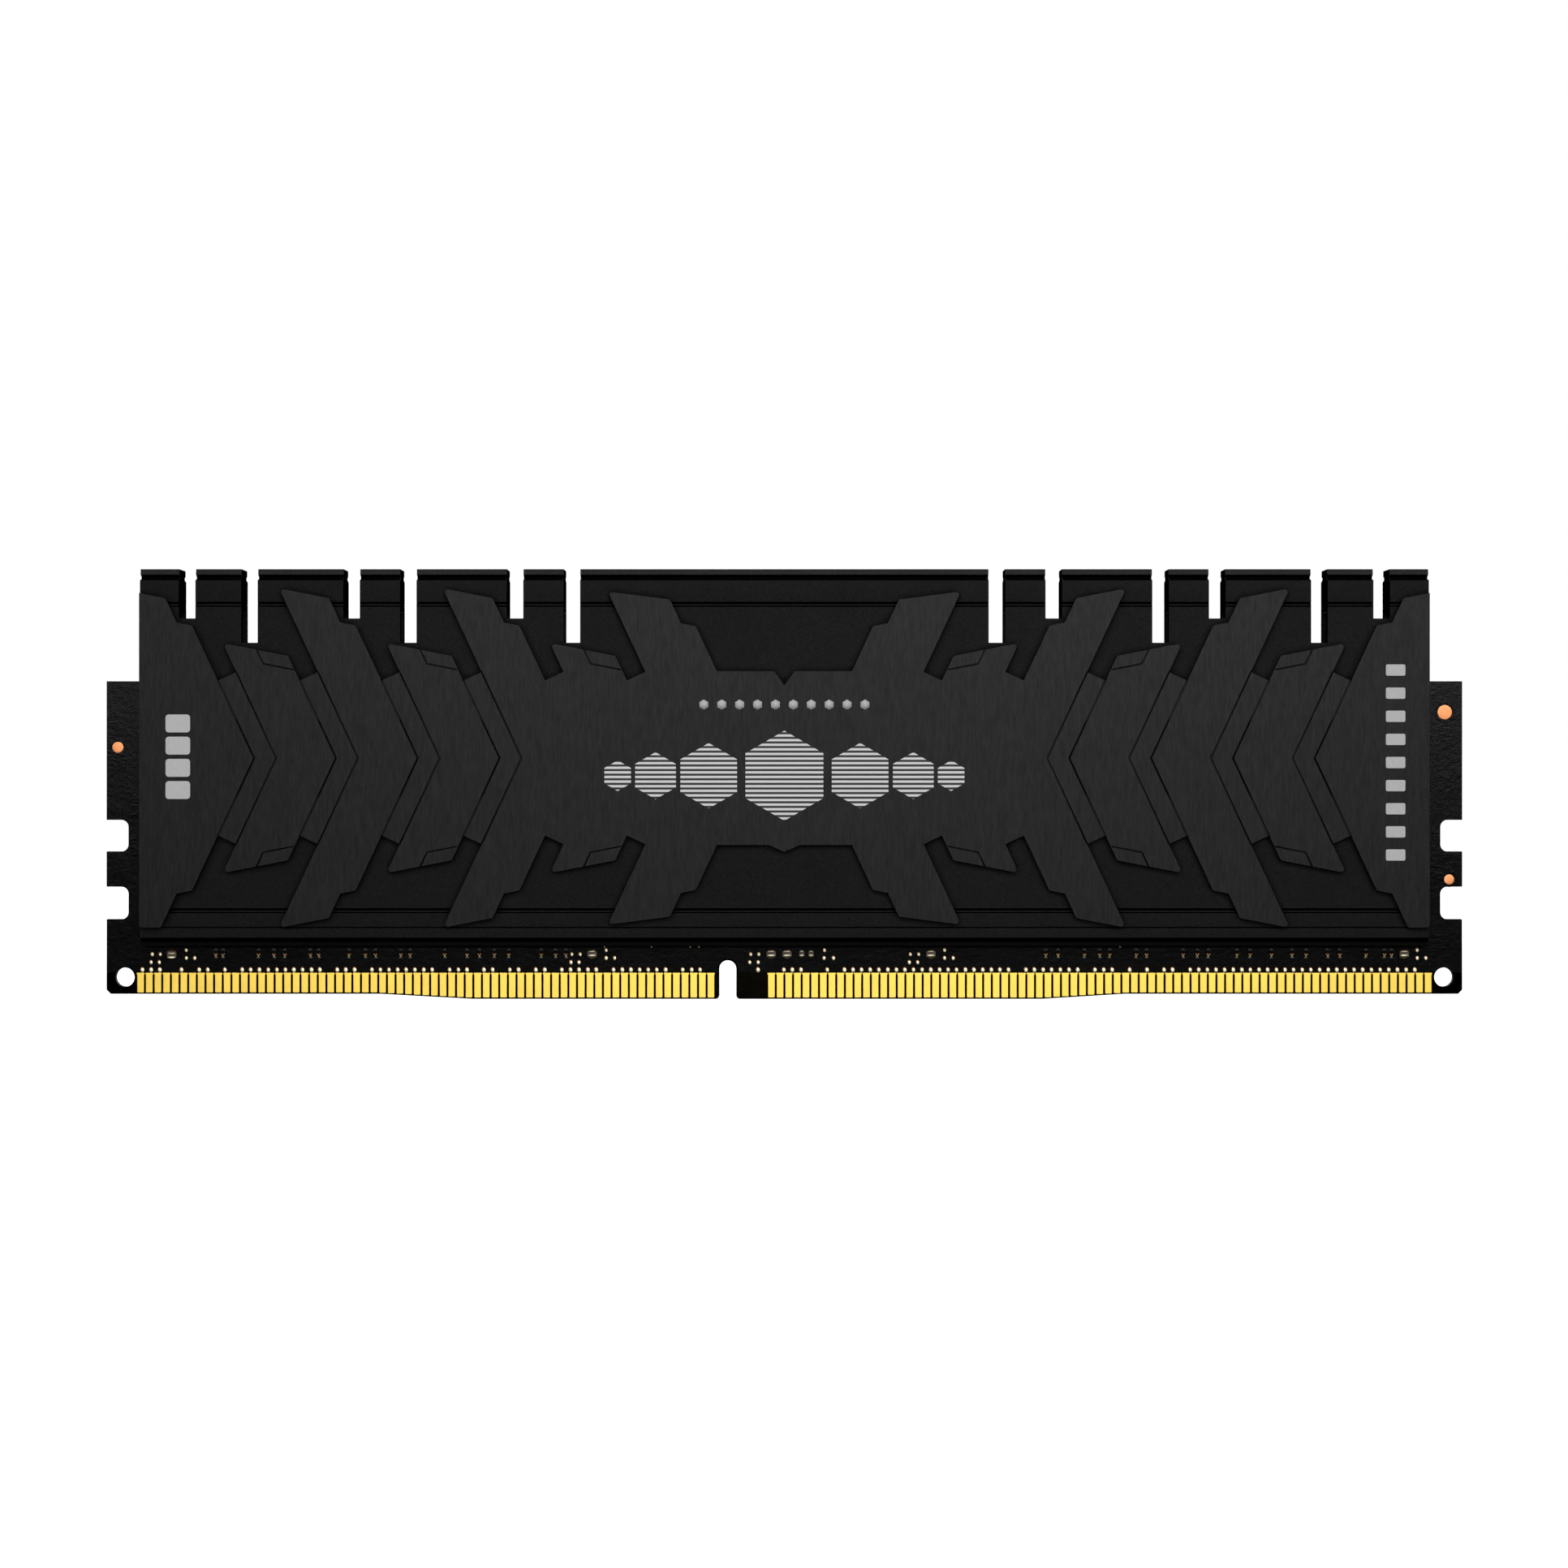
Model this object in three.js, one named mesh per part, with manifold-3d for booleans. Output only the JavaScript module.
// Desktop memory module with a two-part aluminium heat spreader: a 288-contact circuit board,
// its memory chips and passives, thermal tapes, two slotted heat spreader halves and two
// stamped cover plates.
//
// Millimetres, +Z up. The origin is the middle of the board's bottom edge, the edge that goes into
// the socket. X runs along the board, Y through its thickness, and the front side faces -Y.

import * as THREE from 'three';
import { mergeVertices } from 'three/addons/utils/BufferGeometryUtils.js';
import Module from 'manifold-3d';

const wasm = await Module();
wasm.setup();

// ---------------------------------------------------------------- driving dimensions

// Circuit board
const BOARD_LENGTH = 133.35;
const BOARD_HEIGHT = 31.25;
const BOARD_THICKNESS = 1.4;
const BOARD_HALF = BOARD_LENGTH / 2;
const BOARD_FACE = BOARD_THICKNESS / 2;
const EDGE_RISE = 0.5; // the outer stretches of the bottom edge sit this much higher
const LEFT_RAMP = [-39.8, -30.6]; // x where the bottom edge comes down to its middle stretch
const RIGHT_RAMP = [25.3, 33.5]; // x where it rises again
const EDGE_CHAMFER = 0.4;
const KEY_CENTRE = -5.57;
const KEY_WIDTH = 1.68;
const KEY_TOP = 3.79;
const KEY_TOP_RADIUS = 0.83; // nearly half the width, so the key's top is all but a half circle
const KEY_MOUTH_RADIUS = 0.35;
const LATCH_DEPTH = 2.15;
const LATCH_RADIUS = 0.7;
const LATCH_NOTCHES = [[7.84, 11.03], [14.5, 17.61]]; // z of each notch's lower and upper side
const CORNER_HOLE = { x: 64.87, z: 2.13, radius: 0.95 };

// Edge contacts
const CONTACT_PITCH = 0.85;
const CONTACT_WIDTH = 0.67;
const CONTACT_TOP = 2.58;
const CONTACT_SPINE = 0.08; // height of the strip that ties a row of contacts into one solid
const CONTACT_THICKNESS = 0.04;
const CONTACT_EDGE_GAP = 0.13; // bare board below each contact
const LEFT_CONTACTS = 67;
const RIGHT_CONTACTS = 77;
const CONTACT_ROW_PITCHES = 149; // the whole row in pitches, key gap included

// Memory chips, thermal tape and small parts
const CHIP = { width: 7.5, height: 11, thickness: 0.85, standoff: 0.25, inset: 0.6 };
const BALL_OVERLAP = 0.1; // how far the solder-ball block runs up into the chip's body
const CHIP_CENTRE_Z = 16.2;
const CHIP_PITCH = 14;
const FIRST_CHIP_X = 11.5;
const CHIPS_PER_SIDE = 8;
const TAPE = { length: 122, bottom: 10, top: 22.4 };
const SPD_EEPROM = { x: 0, z: 24.5, width: 3, height: 2, thickness: 0.55 };
const CAPACITOR = { width: 0.94, height: 1.1, thickness: 0.8 };
const SMALL_CAPACITOR = { width: 0.55, height: 1, thickness: 0.5 };
const CAPACITOR_Z = 4.45;
const CAPACITOR_X = [-60.2, -18.9, -1.3, 0.25, 14.4, 60.9];
const SMALL_CAPACITOR_X = [1.7, 2.62];

// Heat spreader halves, as distances from the board's middle plane (reach) and heights (z)
const SPREADER_LENGTH = 126.2;
const SPREADER_INNER = 2.1;
const SPREADER_FACE = 3.35;
const SPREADER_TOP = 42.2;
const CAVITY_ROOF = 38;
const TOP_BAND = { bottom: 41.64, reachTop: 2.7, reachBottom: 2.8 };
const TOP_GROOVE = { rim: 41.1, floor: 41.35, floorHalf: 0.06, floorReach: 2.0 };
const FACE_GROOVES = [38.74, 8.74]; // z of the land between the two cuts of each double groove
const WIDE_CUT = { height: 0.25, depth: 0.12 };
const NARROW_CUT = { height: 0.12, depth: 0.07 };
const LAND_HEIGHT = 0.14;
const SCORE_LINE = { z: 7.08, half: 0.06, depth: 0.07 };
const LIP = { faceBottom: 6.08, top: 5.68, bottom: 5.27, reach: 2.6 };

// Fin slots, cut down from the top edge through both halves
const SLOT_WIDTH = 1.6;
const SHALLOW_SLOTS = { floor: 37.35, x: [26.37, 42.37, 58.47] };
const DEEP_SLOTS = { floor: 34.97, x: [20.8, 36.82, 52.37] };

// Cover plates. Heights above and below the plate's centre line are called rise.
const COVER_CENTRE_Z = 23.67;
const COVER_FACE = 4.15;
const BAND_FACE = 4.0;
const LINE_FLOOR = 3.87;
const LEAN_ANGLE = THREE.MathUtils.degToRad(25);
const LEAN = Math.tan(LEAN_ANGLE);
const TOP_TILT = Math.tan(THREE.MathUtils.degToRad(11));
const ARM_TILT = Math.tan(THREE.MathUtils.degToRad(7.3));
const CHEVRON_PITCH = 8;
const FIRST_TIP = -51.85; // right-hand tip of the end plate
const BAND_WIDTH = 2.16; // along X
const BAND_ACROSS = BAND_WIDTH * Math.cos(LEAN_ANGLE); // square to its sides
const BAND_OVERLAP = 0.4; // how far a band runs under the chevron on each side of it
const CHEVRONS = 6; // per side, the end plate included
const LINED_BANDS = 4; // bands at the lower level, edged by lines
const BIG_RISE = 15.665;
const END_DROP = 16.6; // how far the end plate's level bottom edge lies below the centre line
const SMALL_RISE = 10.02;
const SHOULDER_RISE = 12.97;
const SHOULDER_INSET = 1.37;
const BAND_RISE = 7.6; // where a band's square-cut end meets its left side
const ARM = { tip: -2.62, rise: 15.53, shoulderRise: 12.92, inset: 1.32 };
const CENTRE_RISE = 8.52;
const TOP_NOTCH = { half: 0.98, rise: 7.1 };
const BOTTOM_TAB = { half: 1.55, rise: 9.2 };
const CORNER_RADIUS = 0.28;
const LINE_WIDTH = 0.13;
const TAB_LINE = { start: 7.82, rise: 9.17, width: 0.1, past: 0.2 };

// Rear label
const LABEL = { width: 42, height: 12.6, thickness: 0.08 };

// How finely round stretches are faceted, and how far a cutter runs past what it cuts
const HOLE_SEGMENTS = 12;
const CORNER_STEPS = 3;
const BOARD_CORNER_STEPS = 6;
const OVERRUN = 1;

// ---------------------------------------------------------------- materials

const finish = (color, roughness, metalness) =>
  new THREE.MeshStandardMaterial({ color, roughness, metalness });
const MASK = finish(0x0d0d0e, 0.45, 0);
const GOLD = finish(0xe2bf55, 0.25, 1);
const CHIP_PLASTIC = finish(0x1b1b1d, 0.7, 0);
const TAPE_PAD = finish(0x8f9396, 0.9, 0);
const CERAMIC = finish(0x8a6f56, 0.5, 0);
const BLASTED = finish(0x17171a, 0.6, 0.6);
const BRUSHED = finish(0x2b2b2e, 0.4, 0.8);
const LABEL_STOCK = finish(0xd8d9da, 0.6, 0);

// ---------------------------------------------------------------- shape helpers

// Outline points through corners [x, z, radius]; a corner with a radius becomes a true arc.
function roundedOutline(corners, steps = CORNER_STEPS) {
  const points = [];
  corners.forEach(([x, z, radius = 0], i) => {
    const corner = new THREE.Vector2(x, z);
    if (radius === 0) {
      points.push(corner);
      return;
    }
    const before = corners.at(i - 1);
    const after = corners[(i + 1) % corners.length];
    const back = new THREE.Vector2(before[0], before[1]).sub(corner).normalize();
    const ahead = new THREE.Vector2(after[0], after[1]).sub(corner).normalize();
    const half = Math.acos(THREE.MathUtils.clamp(back.dot(ahead), -1, 1)) / 2;
    const start = corner.clone().addScaledVector(back, radius / Math.tan(half));
    const inward = back.clone().add(ahead).normalize();
    const centre = corner.clone().addScaledVector(inward, radius / Math.sin(half));
    const turn = Math.sign(ahead.cross(back)) * (Math.PI - 2 * half);
    for (let k = 0; k <= steps; k++) {
      points.push(start.clone().rotateAround(centre, (turn * k) / steps));
    }
  });
  return points;
}

// A flat piece with its outline in X and Z, from y = low to y = high.
function slab(points, low, high, holes = []) {
  const shape = new THREE.Shape(points);
  shape.holes = holes;
  const geometry = new THREE.ExtrudeGeometry(shape, {
    depth: high - low,
    bevelEnabled: false,
    curveSegments: HOLE_SEGMENTS,
  });
  return geometry.rotateX(Math.PI / 2).translate(0, high, 0);
}

function box(width, depth, height, x, y, z) {
  return new THREE.BoxGeometry(width, depth, height).translate(x, y, z);
}

function toSolid(geometry) {
  const bare = geometry.clone();
  bare.deleteAttribute('normal');
  bare.deleteAttribute('uv');
  const merged = mergeVertices(bare, 1e-4);
  return new wasm.Manifold(new wasm.Mesh({
    numProp: 3,
    vertProperties: new Float32Array(merged.attributes.position.array),
    triVerts: new Uint32Array(merged.index.array),
  }));
}

function toGeometry(solid) {
  const mesh = solid.getMesh();
  const geometry = new THREE.BufferGeometry();
  geometry.setAttribute('position', new THREE.BufferAttribute(mesh.vertProperties, 3));
  geometry.setIndex(new THREE.BufferAttribute(mesh.triVerts, 1));
  geometry.computeVertexNormals();
  return geometry;
}

function joined(geometries) {
  return geometries.map(toSolid).reduce((whole, piece) => whole.add(piece));
}

// ---------------------------------------------------------------- circuit board

// Height of the board's bottom edge at x.
function edgeHeight(x) {
  const left = THREE.MathUtils.clamp(
    (LEFT_RAMP[1] - x) / (LEFT_RAMP[1] - LEFT_RAMP[0]), 0, 1);
  const right = THREE.MathUtils.clamp(
    (x - RIGHT_RAMP[0]) / (RIGHT_RAMP[1] - RIGHT_RAMP[0]), 0, 1);
  return EDGE_RISE * Math.max(left, right);
}

function circuitBoard() {
  const keyLeft = KEY_CENTRE - KEY_WIDTH / 2;
  const keyRight = KEY_CENTRE + KEY_WIDTH / 2;
  const notchFloor = BOARD_HALF - LATCH_DEPTH;
  // The notches of one end, from the lowest corner up; side is -1 at the left end.
  const notches = (side) => LATCH_NOTCHES.flatMap(([low, high]) => [
    [side * BOARD_HALF, low],
    [side * notchFloor, low, LATCH_RADIUS],
    [side * notchFloor, high, LATCH_RADIUS],
    [side * BOARD_HALF, high],
  ]);
  const outline = roundedOutline([
    [-BOARD_HALF, EDGE_RISE + EDGE_CHAMFER],
    [-BOARD_HALF + EDGE_CHAMFER, EDGE_RISE],
    [LEFT_RAMP[0], EDGE_RISE],
    [LEFT_RAMP[1], 0],
    [keyLeft, 0, KEY_MOUTH_RADIUS],
    [keyLeft, KEY_TOP, KEY_TOP_RADIUS],
    [keyRight, KEY_TOP, KEY_TOP_RADIUS],
    [keyRight, 0, KEY_MOUTH_RADIUS],
    [RIGHT_RAMP[0], 0],
    [RIGHT_RAMP[1], EDGE_RISE],
    [BOARD_HALF - EDGE_CHAMFER, EDGE_RISE],
    [BOARD_HALF, EDGE_RISE + EDGE_CHAMFER],
    ...notches(1),
    [BOARD_HALF, BOARD_HEIGHT],
    [-BOARD_HALF, BOARD_HEIGHT],
    ...notches(-1).reverse(),
  ], BOARD_CORNER_STEPS);
  const holes = [-1, 1].map((side) => new THREE.Path().absarc(
    side * CORNER_HOLE.x, CORNER_HOLE.z, CORNER_HOLE.radius, 0, 2 * Math.PI, true));
  return slab(outline, -BOARD_FACE, BOARD_FACE, holes);
}

// A row of contacts as one solid: a thin strip along the top with one tooth for each contact.
function contactRow(firstCentre, count, low, high) {
  const spine = CONTACT_TOP - CONTACT_SPINE;
  const half = CONTACT_WIDTH / 2;
  const last = firstCentre + (count - 1) * CONTACT_PITCH;
  const points = [
    new THREE.Vector2(last + half, CONTACT_TOP),
    new THREE.Vector2(firstCentre - half, CONTACT_TOP),
  ];
  for (let i = 0; i < count; i++) {
    const left = firstCentre + i * CONTACT_PITCH - half;
    const right = left + CONTACT_WIDTH;
    if (i > 0) {
      points.push(new THREE.Vector2(left, spine));
    }
    points.push(new THREE.Vector2(left, edgeHeight(left) + CONTACT_EDGE_GAP));
    points.push(new THREE.Vector2(right, edgeHeight(right) + CONTACT_EDGE_GAP));
    if (i < count - 1) {
      points.push(new THREE.Vector2(right, spine));
    }
  }
  return slab(points, low, high);
}

// ---------------------------------------------------------------- chips and small parts

// A ball-grid package: the moulded body on a smaller block that stands for its solder balls.
function memoryChip() {
  const { width, height, thickness, standoff, inset } = CHIP;
  const body = box(width, thickness, height, 0, -standoff - thickness / 2, 0);
  const ballHeight = standoff + BALL_OVERLAP;
  const balls = box(width - 2 * inset, ballHeight, height - 2 * inset, 0, -ballHeight / 2, 0);
  return toGeometry(joined([body, balls]));
}

// ---------------------------------------------------------------- heat spreader

// The front half's section, as [reach, z] from the top of the outer side down and back up inside.
function spreaderSection() {
  const cut = (top, { height, depth }) => [
    [SPREADER_FACE, top],
    [SPREADER_FACE - depth, top - height / 2],
    [SPREADER_FACE, top - height],
  ];
  const grooves = FACE_GROOVES.flatMap((land) => [
    ...cut(land + WIDE_CUT.height, WIDE_CUT),
    ...cut(land - LAND_HEIGHT, NARROW_CUT),
  ]);
  return [
    [0, SPREADER_TOP],
    [TOP_BAND.reachTop, SPREADER_TOP],
    [TOP_BAND.reachBottom, TOP_BAND.bottom],
    [TOP_GROOVE.floorReach, TOP_GROOVE.floor + TOP_GROOVE.floorHalf],
    [TOP_GROOVE.floorReach, TOP_GROOVE.floor - TOP_GROOVE.floorHalf],
    [SPREADER_FACE, TOP_GROOVE.rim],
    ...grooves,
    [SPREADER_FACE, SCORE_LINE.z + SCORE_LINE.half],
    [SPREADER_FACE - SCORE_LINE.depth, SCORE_LINE.z],
    [SPREADER_FACE, SCORE_LINE.z - SCORE_LINE.half],
    [SPREADER_FACE, LIP.faceBottom],
    [LIP.reach, LIP.top],
    [LIP.reach, LIP.bottom],
    [SPREADER_INNER, LIP.bottom],
    [SPREADER_INNER, CAVITY_ROOF],
    [0, CAVITY_ROOF],
  ];
}

function slotCutter(x, floor) {
  const height = SPREADER_TOP + OVERRUN - floor;
  const depth = SPREADER_FACE + 2 * OVERRUN;
  return toSolid(box(SLOT_WIDTH, depth, height, x, OVERRUN - depth / 2, floor + height / 2));
}

function spreaderHalf() {
  const section = spreaderSection().map(([reach, z]) => new THREE.Vector2(-reach, z));
  const bar = new THREE.ExtrudeGeometry(new THREE.Shape(section), {
    depth: SPREADER_LENGTH,
    bevelEnabled: false,
  });
  bar.translate(0, 0, -SPREADER_LENGTH / 2);
  // The section's plane becomes YZ and the extrusion runs along X.
  bar.applyMatrix4(new THREE.Matrix4().makeBasis(
    new THREE.Vector3(0, 1, 0), new THREE.Vector3(0, 0, 1), new THREE.Vector3(1, 0, 0)));
  let half = toSolid(bar);
  for (const { floor, x: centres } of [SHALLOW_SLOTS, DEEP_SLOTS]) {
    for (const x of centres) {
      half = half.subtract(slotCutter(-x, floor)).subtract(slotCutter(x, floor));
    }
  }
  return toGeometry(half);
}

// ---------------------------------------------------------------- cover plate

// On the left half every chevron side leans back from its tip by the same angle, above and below.
const leanX = (tip, rise) => tip - Math.abs(rise) * LEAN;

// The corner where an edge that climbs to the left from (x, rise) meets the side with that tip.
function topLeftCorner(x, rise, tip, tilt) {
  const across = (x - leanX(tip, rise)) / (1 - tilt * LEAN);
  return [x - across, rise + across * tilt];
}

// A side with a shoulder, from the top corner down to the shoulder's inner corner.
function shoulder(tip, rise, shoulderRise, inset) {
  const across = inset / (1 - TOP_TILT * LEAN);
  const outerRise = shoulderRise + across * TOP_TILT;
  return [
    [leanX(tip, rise) - inset, rise, CORNER_RADIUS],
    [leanX(tip, outerRise) - inset, outerRise],
    [leanX(tip, shoulderRise), shoulderRise, CORNER_RADIUS],
  ];
}

// Points above the centre line, in order from left to right, closed through their mirror images.
function mirroredBelow(above, middle = []) {
  const below = above.map(([x, rise, radius]) => [x, -rise, radius]).reverse();
  return [...above, ...middle, ...below].reverse();
}

// Rise is measured from the cover's centre line, so the outline is lifted to its real height.
function coverSlab(corners, low, high) {
  const lifted = roundedOutline(corners).map(
    (point) => new THREE.Vector2(point.x, point.y + COVER_CENTRE_Z));
  return toSolid(slab(lifted, -high, -low));
}

const rightTip = (n) => FIRST_TIP + n * CHEVRON_PITCH;
const leftTip = (n) => rightTip(n) + BAND_WIDTH;

// The top edge climbs to the plate's end; the bottom edge is level and lies a little lower.
function endPlate() {
  const tip = rightTip(0);
  const side = shoulder(tip, BIG_RISE, SHOULDER_RISE, SHOULDER_INSET);
  const outer = -SPREADER_LENGTH / 2;
  const outerRise = BIG_RISE + (side[0][0] - outer) * TOP_TILT;
  const lowerSide = side.slice(1).map(([x, rise, radius]) => [x, -rise, radius]).reverse();
  return [
    [outer, outerRise],
    ...side,
    [tip, 0],
    ...lowerSide,
    [leanX(tip, END_DROP) - SHOULDER_INSET, -END_DROP, CORNER_RADIUS],
    [outer, -END_DROP, CORNER_RADIUS],
  ].reverse();
}

function bigChevron(n) {
  const side = shoulder(rightTip(n), BIG_RISE, SHOULDER_RISE, SHOULDER_INSET);
  const [x, rise] = topLeftCorner(side[0][0], BIG_RISE, leftTip(n - 1), TOP_TILT);
  return [...mirroredBelow([[x, rise, CORNER_RADIUS], ...side], [[rightTip(n), 0]]),
    [leftTip(n - 1), 0]];
}

function smallChevron(n) {
  const right = [leanX(rightTip(n), SMALL_RISE), SMALL_RISE, CORNER_RADIUS];
  const [x, rise] = topLeftCorner(right[0], SMALL_RISE, leftTip(n - 1), TOP_TILT);
  return [...mirroredBelow([[x, rise, CORNER_RADIUS], right], [[rightTip(n), 0]]),
    [leftTip(n - 1), 0]];
}

// A point of band n's square-cut end, across mm from the band's left side along the cut.
function bandEnd(n, across) {
  return [
    leanX(rightTip(n), BAND_RISE) + across * Math.cos(LEAN_ANGLE),
    BAND_RISE + across * Math.sin(LEAN_ANGLE),
  ];
}

// The strip between chevron n and chevron n + 1, run a little way under both of them.
function band(n) {
  const first = -BAND_OVERLAP;
  const last = BAND_ACROSS + BAND_OVERLAP;
  const tip = (across) => [rightTip(n) + across / Math.cos(LEAN_ANGLE), 0];
  return [...mirroredBelow([bandEnd(n, first), bandEnd(n, last)], [tip(last)]), tip(first)];
}

// The middle of the plate with its four arms.
function centrePlate() {
  const side = shoulder(ARM.tip, ARM.rise, ARM.shoulderRise, ARM.inset);
  const armLeft = leftTip(CHEVRONS - 1);
  const [x, rise] = topLeftCorner(side[0][0], ARM.rise, armLeft, ARM_TILT);
  const arm = [[x, rise, CORNER_RADIUS], ...side, [leanX(ARM.tip, CENTRE_RISE), CENTRE_RISE]];
  const flipX = (points) => points.map(([px, pz, radius]) => [-px, pz, radius]).reverse();
  const flipZ = (points) => points.map(([px, pz, radius]) => [px, -pz, radius]).reverse();
  const top = [...arm, [-TOP_NOTCH.half, CENTRE_RISE], [0, TOP_NOTCH.rise],
    [TOP_NOTCH.half, CENTRE_RISE], ...flipX(arm)];
  const bottom = [...flipZ(flipX(arm)), [BOTTOM_TAB.half, -CENTRE_RISE], [0, -BOTTOM_TAB.rise],
    [-BOTTOM_TAB.half, -CENTRE_RISE], ...flipZ(arm)];
  return [...top, [-armLeft, 0], ...bottom, [armLeft, 0]].reverse();
}

// A groove of even width along the side with that tip, between plus and minus rise.
function sideLine(tip, rise) {
  const half = LINE_WIDTH / 2 / Math.cos(LEAN_ANGLE);
  return [...mirroredBelow([
    [leanX(tip - half, rise), rise],
    [leanX(tip + half, rise), rise],
  ], [[tip + half, 0]]), [tip - half, 0]];
}

// The groove that marks off the outer corner of a small chevron; flip is -1 below the centre line.
function tabLine(n, flip) {
  const { start, rise, width, past } = TAB_LINE;
  const startX = rightTip(n) - start;
  const edgeRise = SMALL_RISE + (leanX(rightTip(n), SMALL_RISE) - startX) * TOP_TILT;
  const bendX = startX + (edgeRise - rise) * LEAN;
  const endX = leanX(rightTip(n), rise) + LINE_WIDTH;
  const endRise = rise - (endX - bendX) * TOP_TILT;
  const outline = [
    [startX - past * LEAN, edgeRise + past],
    [bendX, rise],
    [endX, endRise],
    [endX, endRise + width],
    [bendX + width * (1 - TOP_TILT), rise + width],
    [startX + width / Math.cos(LEAN_ANGLE) - past * LEAN, edgeRise + past],
  ].map(([x, z]) => [x, flip * z]);
  return flip > 0 ? outline : outline.reverse();
}

function mirroredX(solid) {
  return solid.mirror([1, 0, 0]);
}

function coverPlate() {
  const base = SPREADER_FACE;
  let left = coverSlab(endPlate(), base, COVER_FACE);
  for (let n = 1; n < CHEVRONS; n++) {
    const outline = n % 2 === 0 ? bigChevron(n) : smallChevron(n);
    left = left.add(coverSlab(outline, base, COVER_FACE));
  }
  for (let n = 0; n < CHEVRONS; n++) {
    left = left.add(coverSlab(band(n), base, n < LINED_BANDS ? BAND_FACE : COVER_FACE));
  }
  const lines = [];
  for (let n = 0; n < LINED_BANDS; n++) {
    // Each line runs just past the band's end, so nothing is left joined there by an edge alone.
    lines.push(sideLine(rightTip(n), bandEnd(n, LINE_WIDTH)[1]));
    lines.push(sideLine(leftTip(n), bandEnd(n, BAND_ACROSS + LINE_WIDTH)[1]));
  }
  for (let n = 1; n < CHEVRONS; n += 2) {
    lines.push(tabLine(n, 1), tabLine(n, -1));
  }
  for (const line of lines) {
    left = left.subtract(coverSlab(line, LINE_FLOOR, COVER_FACE + OVERRUN));
  }
  const centre = coverSlab(centrePlate(), base, COVER_FACE);
  return toGeometry(left.add(mirroredX(left)).add(centre));
}

// ---------------------------------------------------------------- assembly

const module = new THREE.Group();

// A piece of the front side, or with turn its copy turned half round the vertical axis.
function add(name, geometry, material, x = 0, y = 0, z = 0, turned = false) {
  const mesh = new THREE.Mesh(geometry, material);
  mesh.name = name;
  mesh.position.set(x, y, z);
  mesh.rotation.z = turned ? Math.PI : 0;
  module.add(mesh);
}

add('circuit_board', circuitBoard(), MASK);

const firstContact = -CONTACT_ROW_PITCHES * CONTACT_PITCH / 2;
const firstRightContact = -firstContact - (RIGHT_CONTACTS - 1) * CONTACT_PITCH;
for (const [side, low] of [['front', -BOARD_FACE - CONTACT_THICKNESS], ['rear', BOARD_FACE]]) {
  const high = low + CONTACT_THICKNESS;
  add(`contacts_${side}_left`, contactRow(firstContact, LEFT_CONTACTS, low, high), GOLD);
  add(`contacts_${side}_right`, contactRow(firstRightContact, RIGHT_CONTACTS, low, high), GOLD);
}

const chip = memoryChip();
for (let i = 0; i < CHIPS_PER_SIDE; i++) {
  const step = i - CHIPS_PER_SIDE / 2;
  const x = step < 0
    ? -FIRST_CHIP_X + (step + 1) * CHIP_PITCH
    : FIRST_CHIP_X + step * CHIP_PITCH;
  add(`memory_chip_front_${i + 1}`, chip, CHIP_PLASTIC, x, -BOARD_FACE, CHIP_CENTRE_Z);
  add(`memory_chip_rear_${i + 1}`, chip, CHIP_PLASTIC, -x, BOARD_FACE, CHIP_CENTRE_Z, true);
}

const spd = SPD_EEPROM;
add('spd_eeprom', box(spd.width, spd.thickness, spd.height, 0, 0, 0), CHIP_PLASTIC,
  spd.x, -BOARD_FACE - spd.thickness / 2, spd.z);

const capacitors = [
  ...CAPACITOR_X.map((x) => [x, CAPACITOR]),
  ...SMALL_CAPACITOR_X.map((x) => [x, SMALL_CAPACITOR]),
].sort((a, b) => a[0] - b[0]);
capacitors.forEach(([x, size], i) => {
  add(`capacitor_${i + 1}`, box(size.width, size.thickness, size.height, 0, 0, 0), CERAMIC,
    x, -BOARD_FACE - size.thickness / 2, CAPACITOR_Z);
});

const chipFace = BOARD_FACE + CHIP.standoff + CHIP.thickness;
const tape = box(TAPE.length, SPREADER_INNER - chipFace, TAPE.top - TAPE.bottom,
  0, -(SPREADER_INNER + chipFace) / 2, (TAPE.top + TAPE.bottom) / 2);
add('front_thermal_tape', tape, TAPE_PAD);
add('rear_thermal_tape', tape, TAPE_PAD, 0, 0, 0, true);

const half = spreaderHalf();
add('front_heat_spreader', half, BLASTED);
add('rear_heat_spreader', half, BLASTED, 0, 0, 0, true);

const cover = coverPlate();
add('front_cover_plate', cover, BRUSHED);
add('rear_cover_plate', cover, BRUSHED, 0, 0, 0, true);

add('rear_label', box(LABEL.width, LABEL.thickness, LABEL.height, 0, 0, 0), LABEL_STOCK,
  0, COVER_FACE + LABEL.thickness / 2, COVER_CENTRE_Z);

export default module;
